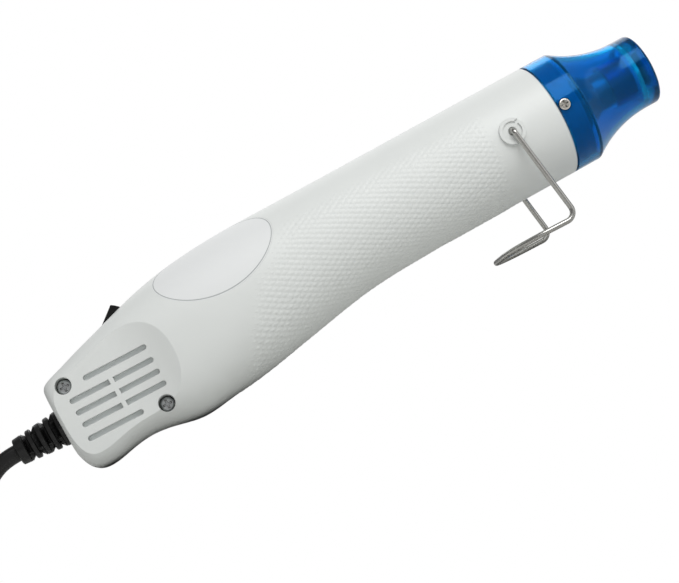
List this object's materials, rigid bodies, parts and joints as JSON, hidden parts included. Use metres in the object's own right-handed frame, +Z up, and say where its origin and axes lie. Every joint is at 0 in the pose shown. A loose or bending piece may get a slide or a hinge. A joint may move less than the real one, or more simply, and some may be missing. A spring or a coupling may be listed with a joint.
{
  "type": "embossing heat tool",
  "caption": "Slim hot-air tool with a two-half grip, vented tail, tapered nozzle, rocker switch, swing-down wire stand and a folded mains cord with its plug.",
  "frame": {"origin": "on the floor the tool stands on, under the middle of the tool measured without its cord", "axes": "+X runs along the tool towards its nozzle, +Z is up, and -Y is the side with the label and the screw heads"},
  "size_m": [0.4319, 0.0446, 0.0535],
  "materials": {
    "white_abs": "moulded, satin",
    "blue_plastic": "moulded, tinted and glossy",
    "label_film": "printed film, plain",
    "screen_mesh": "woven nylon mesh",
    "black_gloss": "moulded, glossy",
    "black_nylon": "moulded",
    "black_pvc": "extruded or moulded flexible vinyl",
    "tie_wrap": "strap",
    "stainless_wire": "drawn wire",
    "stainless_sheet": "rolled sheet",
    "zinc_steel": "zinc plated",
    "nickel_steel": "nickel plated",
    "zinc_can": "zinc plated, drawn",
    "ground_steel": "ground",
    "electrical_steel": "stamped and stacked",
    "ferrite": "pressed and sintered",
    "enamelled_copper": "enamelled wire, wound",
    "sintered_bronze": "sintered",
    "brass_blade": "stamped",
    "nickel_brass": "nickel plated, stamped",
    "natural_nylon": "moulded, uncoloured",
    "dark_phenolic": "moulded, heat proof",
    "mica": "pressed sheet",
    "resistance_wire": "drawn and oxidised",
    "board_laminate": "laminate",
    "diode_black": "moulded",
    "capacitor_film": "moulded case",
    "lead_insulation": "extruded"
  },
  "bodies": {
    "tool_body": {"clamp_screws": "zinc_steel", "cord_clamp": "black_nylon", "cord_hank": "black_pvc", "cord_tail": "black_pvc", "cord_tie": "tie_wrap", "fan_duct": "natural_nylon", "filter_capacitor": "capacitor_film", "front_ring": "dark_phenolic", "heater_leads": "lead_insulation", "heater_seat": "dark_phenolic", "heater_tube": "stainless_sheet", "heating_coil": "resistance_wire", "housing_screws": "zinc_steel", "left_housing": "white_abs", "mains_cord": "black_pvc", "mains_leads": "lead_insulation", "mica_card_level": "mica", "mica_card_upright": "mica", "mica_sleeve": "mica", "motor_bushes": "sintered_bronze", "motor_can": "zinc_can", "motor_end_cap": "black_nylon", "motor_magnets": "ferrite", "motor_terminals": "brass_blade", "nozzle_screws": "nickel_steel", "nozzle_shroud": "blue_plastic", "outlet_tube": "stainless_sheet", "plug_blades": "nickel_brass", "plug_body": "black_pvc", "rating_label": "label_film", "rectifier_board": "board_laminate", "rectifier_diodes": "diode_black", "right_housing": "white_abs", "strain_relief": "black_pvc", "switch_body": "black_nylon", "switch_terminals": "brass_blade", "thermal_cutout": "nickel_steel", "vent_screens": "screen_mesh"},
    "stand": {"stand_bail": "stainless_wire"},
    "rocker": {"switch_rocker": "black_gloss"},
    "rotor": {"motor_shaft": "ground_steel", "armature_core": "electrical_steel", "armature_windings": "enamelled_copper", "commutator": "brass_blade", "fan_rotor": "natural_nylon"}
  },
  "joints": [
    {"name": "stand_swing", "type": "hinge", "parent": "tool_body", "child": "stand", "pos_m": [0.05689, 0, 0.03403], "axis": [0, 1, 0], "range_deg": [-93, 26]},
    {"name": "rocker_tilt", "type": "hinge", "parent": "tool_body", "child": "rocker", "pos_m": [-0.08446, 0, 0.03596], "axis": [0, 1, 0], "range_deg": [0, 22]},
    {"name": "fan_spin", "type": "hinge", "parent": "tool_body", "child": "rotor", "pos_m": [-0.023, 0, 0.03112], "axis": [0.9995, 0, 0.0314], "continuous": true}
  ]
}
